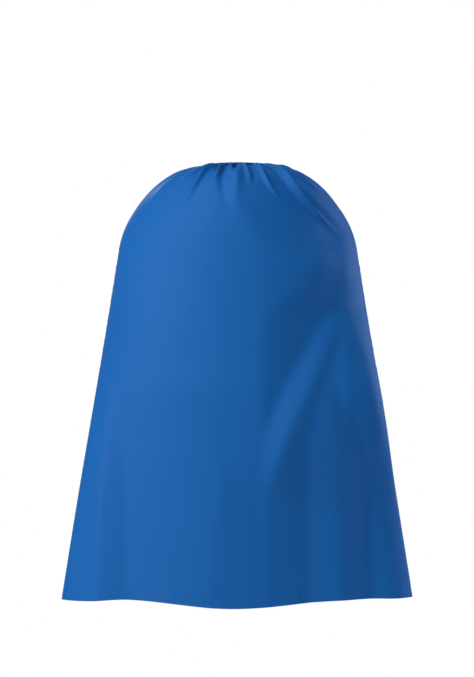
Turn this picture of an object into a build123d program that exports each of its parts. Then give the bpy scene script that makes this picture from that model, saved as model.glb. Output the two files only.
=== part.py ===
"""A child's superhero cape: one gathered cloth panel, bound at the neck and closed at the throat.

The wearer faces -Y and +Z is up. The origin is the middle of the neck opening, level with the top
of the binding. The panel is split at the shoulder blades, where the hanging cloth swings.
"""

from build123d import *
import os

# Neck opening and its binding
neck_half_width = 52.0
neck_half_depth = 56.0
band_width = 4.0
band_height = 4.0
binding_thickness = 0.8
band_end_x = 22.6
tape_thickness = 0.8
channel_slack = 0.1

# Cloth form: half sizes of the level sections, front to back and side to side
cloth_thickness = 1.2
shoulder_level = -135.0
shoulder_half_width = 185.0
shoulder_half_depth = 114.0
shoulder_curve_depth = 125.0
shoulder_fullness = 0.6
hem_level = -671.0
hem_half_width = 269.0
hem_half_depth = 126.0

# Front opening, one side: the cloth's edge runs from the neck over the shoulder to the side
edge_start_x = 34.0
edge_shoulder_x = 172.0
edge_shoulder_level = -112.0
edge_side_x = 200.0
edge_side_level = -150.0
edge_bend_radius = 50.0
edge_side_radius = 7.0

# Hems and threads
hem_thickness = 1.0
hem_width = 12.0
bottom_hem_width = 15.0
thread_width = 0.7
thread_height = 0.4
thread_inset = 2.0
bar_tack_width = 1.4
bar_tack_thickness = 0.5

# Swing line of the hanging cloth, and the gap that it needs
swing_level = -140.0
swing_gap = 0.6

# Closure at the throat, from the neck outwards: under tab, loop patch, gap, hook patch, upper tab
tab_height = 14.0
tab_top = 1.0
tab_middle = tab_top - tab_height / 2
tab_thickness = 1.2
tab_corner = 3.0
under_tab_back_y = -51.8
under_tab_end_x = 12.0
upper_tab_end_x = -20.0
upper_tab_root_x = 22.0
patch_thickness = 0.9
patch_length = 24.0
patch_height = 11.0
patch_centre_x = -4.0
patch_gap = 0.3

# Label inside the back of the neck
label_width = 22.0
label_length = 35.0
label_thickness = 0.5
label_y = 54.2
label_top = -4.4
label_stitch_length = 20.0

# Section levels of the cloth form, as shares of the shoulder curve and of the drop below it
shoulder_shares = (0.0, 0.02, 0.07, 0.16, 0.3, 0.5, 0.75, 1.0)
drop_shares = (0.2, 0.45, 0.7, 1.0)

form_top = -band_height
past_hem = 30.0
far = 400.0

os.makedirs("parts", exist_ok=True)


def half_size(level, at_neck, at_shoulder, at_hem):
    """Half size of the cloth form at a level: a straight flare, drawn in to the neck above."""
    flare = (at_hem - at_shoulder) / (shoulder_level - hem_level)
    straight = at_shoulder + (shoulder_level - level) * flare
    straight_at_top = at_shoulder + (shoulder_level - form_top) * flare
    share = min(1.0, max(0.0, (form_top - level) / shoulder_curve_depth))
    reached = (1.0 - (1.0 - share) ** 2) ** shoulder_fullness
    return straight - (straight_at_top - at_neck) * (1.0 - reached)


def half_width(level):
    return half_size(level, neck_half_width + band_width, shoulder_half_width, hem_half_width)


def half_depth(level):
    return half_size(level, neck_half_depth + band_width, shoulder_half_depth, hem_half_depth)


def section_levels():
    """Levels of the lofted sections, from the neck to just past the hem."""
    curve_end = form_top - shoulder_curve_depth
    levels = [form_top - share * shoulder_curve_depth for share in shoulder_shares]
    levels += [curve_end + share * (hem_level - curve_end) for share in drop_shares]
    return levels + [hem_level - past_hem]


def cloth_form(inset):
    """Solid inside the cloth's outer face moved inwards by inset, along the face's own normal."""
    step = 0.05
    with BuildPart() as form:
        for level in section_levels():
            slope = (half_width(level - step) - half_width(level)) / step
            length = (1.0 + slope**2) ** 0.5
            with BuildSketch(Plane.XY.offset(level - inset * slope / length)):
                Ellipse(half_width(level) - inset / length, half_depth(level) - inset / length)
        loft()
    return form.part


def front_opening(margin):
    """Solid of the open front, widened by margin past the cloth's edges."""
    floor = hem_level - past_hem - far
    with BuildPart() as opening:
        with BuildSketch(Plane.XZ) as outline:
            with BuildLine():
                right = FilletPolyline(
                    (edge_start_x, form_top),
                    (edge_shoulder_x, edge_shoulder_level),
                    (edge_side_x, edge_side_level),
                    (far, edge_side_level),
                    (far, floor),
                    radius=(edge_bend_radius, edge_side_radius, edge_bend_radius),
                )
                top = Polyline(right @ 0, (edge_start_x, far), (0, far))
                Polyline(top @ 1, (0, floor), right @ 1)
            make_face()
            mirror(about=Plane.YZ)
            if margin > 0:
                offset(amount=margin)
        extrude(amount=far)
        if margin > 0:
            extrude(outline.sketch, amount=-margin)
    return opening.part


def elliptic_ring(inner_offset, outer_offset, low, high):
    """Ring around the neck opening, measured outwards from the neck size."""
    with BuildPart() as ring:
        with BuildSketch(Plane.XY.offset(low)):
            Ellipse(neck_half_width + outer_offset, neck_half_depth + outer_offset)
            Ellipse(
                neck_half_width + inner_offset, neck_half_depth + inner_offset, mode=Mode.SUBTRACT
            )
        extrude(amount=high - low)
    return ring.part


def front_gap(half_gap):
    """Block in front of the neck, as wide as the gap between two ends at the throat."""
    with BuildPart() as gap:
        with BuildSketch(Plane.XZ):
            Rectangle(2 * half_gap, far)
        extrude(amount=far)
    return gap.part


def between(outside, inside):
    """Layer between two forms."""
    with BuildPart() as layer:
        add(outside)
        add(inside, mode=Mode.SUBTRACT)
    return layer.part


outer_form = cloth_form(0.0)
inner_form = cloth_form(cloth_thickness)
lining_form = cloth_form(cloth_thickness + hem_thickness)
thread_form = cloth_form(-thread_height)
cloth_layer = between(outer_form, inner_form)
hem_layer = between(inner_form, lining_form)
thread_layer = between(thread_form, outer_form)

open_front = front_opening(0.0)
edge_zone = front_opening(hem_width)
stitch_zone = between(
    front_opening(hem_width - thread_inset),
    front_opening(hem_width - thread_inset - thread_width),
)

above_swing = Plane.XY.offset(swing_level + swing_gap / 2)
below_swing = Plane.XY.offset(swing_level - swing_gap / 2)
hem_plane = Plane.XY.offset(hem_level)
hem_top = Plane.XY.offset(hem_level + bottom_hem_width)
stitch_top = Plane.XY.offset(hem_level + bottom_hem_width - thread_inset)
stitch_bottom = Plane.XY.offset(hem_level + bottom_hem_width - thread_inset - thread_width)

# The gathered head of the cloth stands in the binding's channel, outside the tape.
tape_inner = binding_thickness + channel_slack
head_inner = tape_inner + tape_thickness + channel_slack
head_outer = band_width - binding_thickness
channel_top = -binding_thickness - channel_slack
gathered_head = elliptic_ring(head_inner, head_outer, form_top - cloth_thickness / 2, channel_top)
tape_ring = elliptic_ring(
    tape_inner, tape_inner + tape_thickness, form_top + channel_slack, channel_top
)
binding_ring = elliptic_ring(0.0, band_width, form_top, 0.0)
binding_channel = elliptic_ring(
    binding_thickness, band_width - binding_thickness, form_top - 1.0, -binding_thickness
)
binding_thread = elliptic_ring(
    band_width,
    band_width + thread_height,
    form_top + thread_width,
    form_top + 2 * thread_width,
)
label_thread = elliptic_ring(
    -thread_height,
    0.0,
    form_top + thread_width,
    form_top + 2 * thread_width,
)

binding_gap = front_gap(band_end_x)
cloth_gap = front_gap(edge_start_x)

# Cloth panel
with BuildPart() as cape_shoulders:
    add(cloth_layer)
    with BuildSketch(Plane.XY.offset(form_top)):
        Ellipse(neck_half_width + head_inner, neck_half_depth + head_inner)
    extrude(amount=-2 * cloth_thickness, mode=Mode.SUBTRACT)
    add(open_front, mode=Mode.SUBTRACT)
    add(gathered_head)
    add(cloth_gap, mode=Mode.SUBTRACT)
    split(bisect_by=above_swing, keep=Keep.TOP)

with BuildPart() as cape_drape:
    add(cloth_layer)
    add(open_front, mode=Mode.SUBTRACT)
    split(bisect_by=below_swing, keep=Keep.BOTTOM)
    split(bisect_by=hem_plane, keep=Keep.TOP)

# Turned hems, on the inside of the panel
with BuildPart() as shoulder_hems:
    add(hem_layer)
    add(edge_zone, mode=Mode.INTERSECT)
    add(open_front, mode=Mode.SUBTRACT)
    split(bisect_by=above_swing, keep=Keep.TOP)
    with BuildSketch(Plane.XY.offset(form_top)):
        Ellipse(neck_half_width + band_width, neck_half_depth + band_width)
    extrude(amount=-far, mode=Mode.SUBTRACT)

with BuildPart() as left_shoulder_hem:
    add(shoulder_hems.part)
    split(bisect_by=Plane.YZ, keep=Keep.TOP)

with BuildPart() as right_shoulder_hem:
    add(shoulder_hems.part)
    split(bisect_by=Plane.YZ, keep=Keep.BOTTOM)

with BuildPart() as side_hems:
    add(hem_layer)
    add(edge_zone, mode=Mode.INTERSECT)
    add(open_front, mode=Mode.SUBTRACT)
    split(bisect_by=below_swing, keep=Keep.BOTTOM)
    split(bisect_by=hem_top, keep=Keep.TOP)

with BuildPart() as left_side_hem:
    add(side_hems.part)
    split(bisect_by=Plane.YZ, keep=Keep.TOP)

with BuildPart() as right_side_hem:
    add(side_hems.part)
    split(bisect_by=Plane.YZ, keep=Keep.BOTTOM)

with BuildPart() as bottom_hem:
    add(hem_layer)
    add(open_front, mode=Mode.SUBTRACT)
    split(bisect_by=hem_top, keep=Keep.BOTTOM)
    split(bisect_by=hem_plane, keep=Keep.TOP)

# Threads of the hems, on the outside of the panel
with BuildPart() as shoulder_hem_stitching:
    add(thread_layer)
    add(stitch_zone, mode=Mode.INTERSECT)
    split(bisect_by=above_swing, keep=Keep.TOP)
    with BuildSketch(Plane.XY.offset(thread_height)):
        Ellipse(neck_half_width + 2 * band_width, neck_half_depth + 2 * band_width)
    extrude(amount=-far, mode=Mode.SUBTRACT)

with BuildPart() as side_hem_stitching:
    add(thread_layer)
    add(stitch_zone, mode=Mode.INTERSECT)
    split(bisect_by=below_swing, keep=Keep.BOTTOM)
    split(bisect_by=stitch_top, keep=Keep.TOP)

with BuildPart() as bottom_hem_stitching:
    add(thread_layer)
    add(open_front, mode=Mode.SUBTRACT)
    split(bisect_by=stitch_top, keep=Keep.BOTTOM)
    split(bisect_by=stitch_bottom, keep=Keep.TOP)

# Binding and what it holds
with BuildPart() as neck_band:
    add(binding_ring)
    add(binding_channel, mode=Mode.SUBTRACT)
    add(binding_gap, mode=Mode.SUBTRACT)

with BuildPart() as gathering_tape:
    add(tape_ring)
    add(cloth_gap, mode=Mode.SUBTRACT)

with BuildPart() as band_stitching:
    add(binding_thread)
    add(binding_gap, mode=Mode.SUBTRACT)

outer_band_width = neck_half_width + band_width
outer_band_depth = neck_half_depth + band_width
tack_y = -outer_band_depth * (1 - (edge_start_x / outer_band_width) ** 2) ** 0.5
tack_normal = Vector(edge_start_x / outer_band_width**2, tack_y / outer_band_depth**2, 0)
tack_plane = Plane(
    origin=(edge_start_x, tack_y, -band_height / 2), x_dir=(0, 0, 1), z_dir=tack_normal
)

with BuildPart() as bar_tacks:
    with BuildSketch(tack_plane.offset(thread_height)):
        SlotOverall(band_height - thread_width, bar_tack_width)
    extrude(amount=bar_tack_thickness)
    mirror(about=Plane.YZ)

# Closure at the throat
under_tab_front_y = under_tab_back_y - tab_thickness
loop_front_y = under_tab_front_y - patch_thickness
hook_back_y = loop_front_y - patch_gap
upper_tab_back_y = hook_back_y - patch_thickness
upper_tab_front_y = upper_tab_back_y - tab_thickness
stitched_length = patch_length - 2 * thread_inset
stitched_height = patch_height - 2 * thread_inset
unstitched_length = stitched_length - 2 * thread_width
unstitched_height = stitched_height - 2 * thread_width

with BuildPart() as loop_tab:
    with BuildSketch(Plane.XZ.offset(-under_tab_back_y)) as under_tab:
        with Locations((under_tab_end_x, tab_middle)):
            Rectangle(band_end_x + under_tab_end_x, tab_height, align=(Align.MAX, Align.CENTER))
        fillet(under_tab.vertices().group_by(Axis.X)[-1], tab_corner)
    extrude(amount=tab_thickness)

with BuildPart() as loop_patch:
    with BuildSketch(Plane.XZ.offset(-under_tab_front_y)):
        with Locations((patch_centre_x, tab_middle)):
            RectangleRounded(patch_length, patch_height, tab_corner / 2)
    extrude(amount=patch_thickness)

with BuildPart() as hook_patch:
    with BuildSketch(Plane.XZ.offset(-hook_back_y)):
        with Locations((patch_centre_x, tab_middle)):
            RectangleRounded(patch_length, patch_height, tab_corner / 2)
    extrude(amount=patch_thickness)

with BuildPart() as closure_tab:
    with BuildSketch(Plane.XZ.offset(-upper_tab_back_y)) as upper_tab:
        with Locations((upper_tab_root_x, tab_middle)):
            Rectangle(
                upper_tab_root_x - upper_tab_end_x, tab_height, align=(Align.MAX, Align.CENTER)
            )
        fillet(upper_tab.vertices().group_by(Axis.X)[0], tab_corner)
    extrude(amount=tab_thickness)

with BuildPart() as loop_patch_stitching:
    with BuildSketch(Plane.XZ.offset(-under_tab_back_y)):
        with Locations((patch_centre_x, tab_middle)):
            Rectangle(stitched_length, stitched_height)
            Rectangle(unstitched_length, unstitched_height, mode=Mode.SUBTRACT)
    extrude(amount=-thread_height)

with BuildPart() as hook_patch_stitching:
    with BuildSketch(Plane.XZ.offset(-upper_tab_front_y)):
        with Locations((patch_centre_x, tab_middle)):
            Rectangle(stitched_length, stitched_height)
            Rectangle(unstitched_length, unstitched_height, mode=Mode.SUBTRACT)
    extrude(amount=thread_height)

# Label inside the back of the neck
with BuildPart() as care_label:
    with BuildSketch(Plane.XZ.offset(-label_y)):
        with Locations((0, label_top)):
            Rectangle(label_width, label_length, align=(Align.CENTER, Align.MAX))
    extrude(amount=label_thickness / 2, both=True)

with BuildPart() as label_stitching:
    add(label_thread)
    with BuildSketch(Plane.XZ):
        Rectangle(label_stitch_length, far)
    extrude(amount=-far, mode=Mode.INTERSECT)

pieces = {
    "cape_shoulders": cape_shoulders,
    "cape_drape": cape_drape,
    "left_shoulder_hem": left_shoulder_hem,
    "right_shoulder_hem": right_shoulder_hem,
    "left_side_hem": left_side_hem,
    "right_side_hem": right_side_hem,
    "bottom_hem": bottom_hem,
    "shoulder_hem_stitching": shoulder_hem_stitching,
    "side_hem_stitching": side_hem_stitching,
    "bottom_hem_stitching": bottom_hem_stitching,
    "neck_band": neck_band,
    "gathering_tape": gathering_tape,
    "band_stitching": band_stitching,
    "bar_tacks": bar_tacks,
    "loop_tab": loop_tab,
    "loop_patch": loop_patch,
    "loop_patch_stitching": loop_patch_stitching,
    "closure_tab": closure_tab,
    "hook_patch": hook_patch,
    "hook_patch_stitching": hook_patch_stitching,
    "care_label": care_label,
    "label_stitching": label_stitching,
}

for piece_name, piece in pieces.items():
    piece.part.label = piece_name
    export_step(piece.part, f"parts/{piece_name}.step")
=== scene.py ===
"""Looks of the child's superhero cape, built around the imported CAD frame.

The wearer faces -Y, +Z is up and the cape hangs at +Y. Everything is in metres.
The cloth is one flat cut panel, gathered at the neck. Its hanging shape is a smooth form with each
gather and fold laid over it. Hems, threads, binding, tabs and label are built on that surface.
"""

import math
import random

import bpy
import numpy as np
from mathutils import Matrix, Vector


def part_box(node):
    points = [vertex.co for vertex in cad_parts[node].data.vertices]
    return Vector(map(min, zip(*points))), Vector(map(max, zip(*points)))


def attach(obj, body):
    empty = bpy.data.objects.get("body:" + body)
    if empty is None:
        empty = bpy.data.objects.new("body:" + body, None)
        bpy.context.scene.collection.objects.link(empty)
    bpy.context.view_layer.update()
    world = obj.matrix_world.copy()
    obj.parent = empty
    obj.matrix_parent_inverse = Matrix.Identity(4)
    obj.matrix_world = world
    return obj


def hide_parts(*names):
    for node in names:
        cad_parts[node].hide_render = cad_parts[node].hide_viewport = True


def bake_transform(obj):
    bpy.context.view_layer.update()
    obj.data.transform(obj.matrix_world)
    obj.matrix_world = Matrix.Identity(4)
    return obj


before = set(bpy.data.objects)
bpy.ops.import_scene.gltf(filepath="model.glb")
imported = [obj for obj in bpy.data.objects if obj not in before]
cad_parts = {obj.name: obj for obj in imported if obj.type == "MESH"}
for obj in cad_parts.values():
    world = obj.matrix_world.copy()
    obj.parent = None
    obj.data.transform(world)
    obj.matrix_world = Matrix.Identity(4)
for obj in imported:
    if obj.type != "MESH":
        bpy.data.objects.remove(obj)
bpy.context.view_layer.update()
random.seed(11)

MM = 0.001

# Places and sizes read from the frame
BAND_LOW, BAND_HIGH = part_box("neck_band")
DRAPE_LOW, DRAPE_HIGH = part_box("cape_drape")
BAND_WIDTH = 4 * MM
NECK_HALF_WIDTH = BAND_HIGH.x - BAND_WIDTH
NECK_HALF_DEPTH = BAND_HIGH.y - BAND_WIDTH
FORM_TOP = BAND_LOW.z
HEM_LEVEL = DRAPE_LOW.z
HEM_HALF_WIDTH = DRAPE_HIGH.x
HEM_HALF_DEPTH = DRAPE_HIGH.y

# Cloth form, as in the CAD model
SHOULDER_LEVEL = -135 * MM
SHOULDER_HALF_WIDTH = 185 * MM
SHOULDER_HALF_DEPTH = 114 * MM
SHOULDER_CURVE_DEPTH = 125 * MM
SHOULDER_FULLNESS = 0.6
FRONT_EDGE = ((-FORM_TOP / MM, 34), (112, 172), (150, 200), (720, 440))

# The flat cut panel
TOP_WIDTH = 540 * MM
HEM_WIDTH = 640 * MM
SIDE_EXTRA = 24 * MM
CLOTH_THICKNESS = 0.4 * MM

# Photograph's view: level, from behind, with the cape's plane 3 m away
CAMERA_DISTANCE = 3.0
CAMERA_LEVEL = -268 * MM
VIEW_HEIGHT = 1050 * MM
CAMERA_X = 1.5 * MM

FLOOR_LEVEL, FLOOR_RADIUS, FLOOR_SIDES = -1.06, 1.4, 96


# ------------ meshes


def mesh_object(name, points, faces, uvs=None):
    """Object of a point list and faces, with a UV in metres for each point."""
    mesh = bpy.data.meshes.new(name)
    mesh.from_pydata([tuple(map(float, p)) for p in points], [], faces)
    mesh.update()
    mesh.polygons.foreach_set("use_smooth", [True] * len(mesh.polygons))
    if uvs is not None:
        layer = mesh.uv_layers.new(name="cloth")
        corners = np.zeros(len(mesh.loops), dtype=int)
        mesh.loops.foreach_get("vertex_index", corners)
        layer.data.foreach_set("uv", np.asarray(uvs, float)[corners].ravel())
    made = bpy.data.objects.new(name, mesh)
    bpy.context.scene.collection.objects.link(made)
    return made


def tube_faces(rings, around, first=0):
    """Faces of a tube with closed ends, whose points are laid ring after ring."""
    faces = []
    for k in range(rings - 1):
        for i in range(around):
            a = first + k * around + i
            b = first + k * around + (i + 1) % around
            faces.append((a, b, b + around, a + around))
    faces.append(tuple(first + i for i in reversed(range(around))))
    faces.append(tuple(first + (rings - 1) * around + i for i in range(around)))
    return faces


def grid_faces(columns, rows, first=0):
    """Faces of a grid whose points are laid row after row, from the number first on."""
    starts = [first + j * columns + i for j in range(rows - 1) for i in range(columns - 1)]
    return [(a, a + columns, a + columns + 1, a + 1) for a in starts]


def grid_border(columns, rows):
    """Pairs of neighbouring points round the border of a grid that is laid row after row."""
    border = list(range(columns))
    border += [j * columns + columns - 1 for j in range(1, rows)]
    border += [(rows - 1) * columns + i for i in reversed(range(columns - 1))]
    border += [j * columns for j in reversed(range(1, rows - 1))]
    return zip(border, border[1:] + border[:1])


# ------------ cloth form


def half_size(level, at_neck, at_shoulder, at_hem):
    """Half size of the CAD cloth form at a level."""
    flare = (at_hem - at_shoulder) / (SHOULDER_LEVEL - HEM_LEVEL)
    straight = at_shoulder + (SHOULDER_LEVEL - level) * flare
    straight_at_top = at_shoulder + (SHOULDER_LEVEL - FORM_TOP) * flare
    share = np.clip((FORM_TOP - level) / SHOULDER_CURVE_DEPTH, 0.0, 1.0)
    reached = (1.0 - (1.0 - share) ** 2) ** SHOULDER_FULLNESS
    return straight - (straight_at_top - at_neck) * (1.0 - reached)


def half_width(level):
    return half_size(level, BAND_HIGH.x, SHOULDER_HALF_WIDTH, HEM_HALF_WIDTH)


def half_depth(level):
    return half_size(level, BAND_HIGH.y, SHOULDER_HALF_DEPTH, HEM_HALF_DEPTH)


def smooth(share):
    share = np.clip(share, 0.0, 1.0)
    return share * share * (3 - 2 * share)


def unit(vectors):
    """The same vectors, each of length one."""
    return vectors / np.maximum(np.linalg.norm(vectors, axis=-1, keepdims=True), 1e-12)


def centre_profile():
    """Levels down the middle of the back and the length of cloth above each."""
    share = np.linspace(0, 1, 1200) ** 2
    level = FORM_TOP + (HEM_LEVEL - FORM_TOP) * share
    run = np.hypot(np.diff(half_depth(level)), np.diff(level))
    return level, BAND_WIDTH / 2 + np.concatenate([[0.0], np.cumsum(run)])


PROFILE_LEVELS, PROFILE_LENGTHS = centre_profile()
CENTRE_LENGTH = float(PROFILE_LENGTHS[-1])


# ------------ flat cut


def cut_width(v):
    """Width of the flat panel at share v of its length."""
    return TOP_WIDTH + (HEM_WIDTH - TOP_WIDTH) * v


def cut_length(u):
    """Length of the flat panel at share u of its half width: the hem's sides are cut longer."""
    return CENTRE_LENGTH + SIDE_EXTRA * u * u


# ------------ hanging form

# Gathers at the neck. Each line starts at an angle round the neck, passes a second at the middle
# and ends at a third, in degrees from the wearer's left, 90 being the middle of the back. Then its
# length down the cloth, its height (below zero for a pocket between two folds), and its half width
# at the neck and at its end.
GATHERS = (
    (-44, -40, -34, 75, 5.0, 3.0, 10),
    (-34, -28, -22, 46, -5.5, 2.8, 6),
    (-21, -17, -11, 90, 5.5, 3.0, 12),
    (-10, -5, 0, 52, -5.6, 2.8, 7),
    (2, 5, 9, 95, 5.0, 3.0, 13),
    (14, 18, 22, 60, -5.5, 3.0, 9),
    (25, 29, 33, 105, 5.0, 2.8, 12),
    (34, 37, 40, 40, -5.0, 3.0, 7),
    (41, 44, 48, 80, 4.0, 3.0, 8),
    (48, 50, 53, 46, -7.5, 3.4, 7),
    (55, 60, 56, 96, 11.0, 2.4, 4.8),
    (62, 66, 67, 27, -9.5, 3.4, 4.6),
    (68, 72, 71, 52, 8.5, 2.2, 4.2),
    (73, 79, 85, 95, -6.0, 3.0, 6.4),
    (80, 83, 88, 38, 7.5, 2.0, 3.2),
    (84, 88, 92, 31, -9.0, 3.2, 4.2),
    (91, 89, 90, 112, 6.0, 5.0, 12),
    (98, 99, 98, 56, 5.0, 3.0, 6),
    (105, 103, 98, 62, -4.0, 2.0, 5),
    (115, 111, 117, 80, 10.0, 2.2, 4.0),
    (121, 119, 121, 50, -7.0, 3.0, 6),
    (134, 131, 156, 142, 14.5, 2.6, 6.4),
    (142, 142, 145, 22, -8.0, 3.4, 5),
    (148, 150, 157, 74, 8.5, 2.4, 5),
    (160, 160, 162, 60, -3.5, 4.0, 9),
    (176, 172, 166, 95, 5.5, 3.4, 12),
    (189, 186, 182, 54, -5.6, 3.0, 8),
    (201, 197, 194, 90, 5.5, 3.0, 13),
    (213, 209, 205, 50, -5.5, 2.8, 7),
    (224, 220, 216, 75, 5.0, 3.0, 10),
)

# Strips of the hanging cloth that a soft fold turns sideways, as seen from behind. Each has its
# levels, its border towards the wearer's left and its border towards the right at those levels, and
# how steeply the cloth falls away between them (below zero where it rises).
STRIPS = (
    ((-40, -75, -105, -145), (-10, -12, -20, -80), (-12, -115, -146, -82), 0.15),
    ((-14, -40, -61, -82, -110, -140),
     (-60, -80, -103, -128, -150, -158),
     (-64, -90, -116, -142, -160, -159), -0.9),
    ((-120, -160, -195), (-80, -60, -150), (-85, -165, -155), -0.07),
    ((-180, -230, -290, -340, -385, -405),
     (-120, -45, -37, -36, -38, -44),
     (-150, -128, -98, -70, -50, -45), 0.22),
    ((-215, -240, -290, -340, -385, -430, -465, -510),
     (-149, -122, -98, -70, -50, -38, -38, -40),
     (-150, -156, -132, -110, -88, -70, -55, -41), -0.32),
    ((-250, -290, -340, -385, -430, -465, -500, -560, -720),
     (-155, -132, -110, -88, -70, -55, -42, -40, -42),
     (-157, -142, -126, -112, -104, -103, -104, -106, -110), 0.22),
    ((-300, -385, -440, -520, -720), (-142, -113, -104, -106, -110), (-143, -140, -148, -152, -158), -0.16),
    ((-370, -420, -480, -540, -620, -720),
     (-172, -160, -152, -152, -155, -160),
     (-173, -182, -194, -199, -203, -206), 0.27),
    ((-220, -280, -340, -400, -460), (-165, -146, -142, -172, -200), (-166, -190, -206, -212, -201), -0.34),
    ((-420, -520, -620, -720), (-190, -198, -203, -206), (-191, -218, -232, -246), -0.34),
    ((-160, -230, -300, -400, -520, -720),
     (-184, -192, -206, -222, -238, -258),
     (-185, -208, -226, -242, -262, -290), 0.3),
    ((-340, -420, -520, -620, -720), (191, 200, 208, 212, 218), (190, 174, 168, 166, 170), 0.38),
    ((-300, -420, -520, -720), (214, 235, 255, 290), (213, 202, 210, 220), -0.2),
    ((-450, -520, -620, -720), (20, 30, 40, 45), (18, -30, -38, -38), 0.13),
)

# The strips fade out over this depth towards the front, and are blurred over these grid steps.
STRIP_FADE_DEPTH = 30 * MM
BLUR_ACROSS, BLUR_DOWN = 4, 6

# The plan opens from an oval to a bow with wings, from one level to another and up to a share. The
# wings come forward by a share of the depth, and the bow's curve has its own sharpness.
WING_START, WING_FULL, WING_SHARE = -0.15, -0.55, 0.85
WING_RISE, BOW_SHARPNESS = 0.58, 1.15

# Share of a gather's height that it already has at the neck
NECK_SHARE = 0.28

# Where the cloth's top tucks into the binding: how far down, how far up, and how flat it is pressed
TUCK_LENGTH, TUCK_RISE, TUCK_PRESS = 5 * MM, 1 * MM, 0.8

# How far the hem is drawn up at the wearer's left, right and at both corners, and over what widths
LEFT_RISE, RIGHT_RISE, CORNER_RISE = 11 * MM, 7.5 * MM, 5.5 * MM
SIDE_RISE_REACH, CORNER_RISE_REACH = 165 * MM, 100 * MM


def plan_curve(level, turn):
    """Plan of the smooth form at a level: an oval above, opening to a flatter bow with wings below."""
    a, b = half_width(level), half_depth(level)
    x, y = a * np.cos(turn), b * np.sin(turn)
    bow = b * (1 - WING_RISE + WING_RISE * np.cos(np.pi / 2 * np.abs(np.cos(turn)) ** BOW_SHARPNESS))
    share = WING_SHARE * smooth((WING_START - level) / (WING_START - WING_FULL))
    return x, y * (1 - share) + bow * share


def edge_turn(level):
    """How far round from the middle of the back the cloth reaches at a level."""
    down, out = zip(*FRONT_EDGE)
    across = np.interp(-level, np.array(down) * MM, np.array(out) * MM)
    return math.pi / 2 + np.arccos(np.minimum(1.0, across / half_width(level)))


def gather_height(turn, level, fallen):
    """Height of the gathers, by the angle round the neck and the length of cloth above."""
    angle = np.degrees(turn)
    girth = np.hypot(half_width(level) * np.sin(turn), half_depth(level) * np.cos(turn))
    height = np.zeros_like(turn)
    for start, bend, end, length, rise, narrow, wide in GATHERS:
        share = fallen / (length * MM)
        reached = np.clip(share, 0, 1)
        middle = start + (end - start) * reached + (4 * bend - 2 * start - 2 * end) * reached * (1 - reached)
        away = np.radians(angle - middle) * girth
        width = (narrow + (wide - narrow) * np.clip(share, 0, 1.2)) * MM
        grown = NECK_SHARE + (1 - NECK_SHARE) * smooth(4 * share)
        fade = (1 - smooth(share)) ** (1 if rise < 0 else 0.8)
        height += rise * MM * grown * fade * np.exp(-((away / width) ** 2))
    return height


def hem_rise(x):
    """How far the hem is drawn up on each side of its middle, and a little less at its corners."""
    at_side = np.where(x > 0, LEFT_RISE, RIGHT_RISE)
    away = np.abs(x)
    rise = at_side * smooth(away / SIDE_RISE_REACH)
    return rise + (CORNER_RISE - at_side) * smooth((away - SIDE_RISE_REACH) / CORNER_RISE_REACH)


def softened(height, reach, axis):
    """Blurs a grid along one axis, over a number of its steps."""
    steps = np.arange(-3 * reach, 3 * reach + 1)
    weights = np.exp(-0.5 * (steps / reach) ** 2)
    weights /= weights.sum()
    last = height.shape[axis] - 1
    places = np.arange(last + 1)
    blurred = 0.0
    for step, weight in zip(steps, weights):
        blurred = blurred + weight * np.take(height, np.clip(places + step, 0, last), axis=axis)
    return blurred


def strip_height(x, level):
    """Height of the soft folds over the smooth form, by the place seen from behind."""
    height = np.zeros_like(x)
    for levels, left, right, fall in STRIPS:
        down = -np.array(levels) * MM
        start = np.interp(-level, down, np.array(left) * MM)
        end = np.interp(-level, down, np.array(right) * MM)
        height -= fall * np.clip(start - x, 0, np.maximum(start - end, 0))
    return softened(softened(height, BLUR_ACROSS, 1), BLUR_DOWN, 0)


def even_shares(x, y, count):
    """Resamples rows of a curve to points evenly spaced along it."""
    run = np.hypot(np.diff(x, axis=1), np.diff(y, axis=1))
    along = np.concatenate([np.zeros((len(x), 1)), np.cumsum(run, axis=1)], axis=1)
    along /= along[:, -1:]
    wanted = np.linspace(0, 1, count)
    return np.array([np.interp(wanted, row, np.arange(x.shape[1])) for row in along]) / (x.shape[1] - 1)


def hanging_grid(columns, rows):
    """Grid of points of the hanging cloth, from neck to hem and from the wearer's left to right."""
    fallen = np.linspace(0, 1, rows + 1)[:, None] * CENTRE_LENGTH
    level = np.interp(fallen, PROFILE_LENGTHS, PROFILE_LEVELS)
    fine = np.linspace(-1, 1, 801)[None, :]
    turn = math.pi / 2 + fine * edge_turn(level)
    x, y = plan_curve(level, turn)
    share = even_shares(x, y, columns + 1)
    turn = math.pi / 2 + (2 * share - 1) * edge_turn(level)
    x, y = plan_curve(level, turn)
    points = np.stack([x, y, np.broadcast_to(level, x.shape)], axis=-1)
    tucked = 1 - smooth(fallen / TUCK_LENGTH)
    outward = unit(np.stack([np.cos(turn) * half_depth(level), np.sin(turn) * half_width(level)], axis=-1))
    points[..., :2] -= outward * (tucked * BAND_WIDTH / 2)[..., None]
    points[..., 2] += tucked * TUCK_RISE
    out = unit(np.cross(np.gradient(points, axis=0), np.gradient(points, axis=1)))
    behind = smooth(y / STRIP_FADE_DEPTH)
    height = gather_height(turn, level, fallen) * (1 - TUCK_PRESS * tucked)
    points[..., 1] += strip_height(x, level) * behind
    points[..., 2] += hem_rise(x) * smooth(2 * fallen / CENTRE_LENGTH - 1)
    return points + out * height[..., None]


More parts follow.
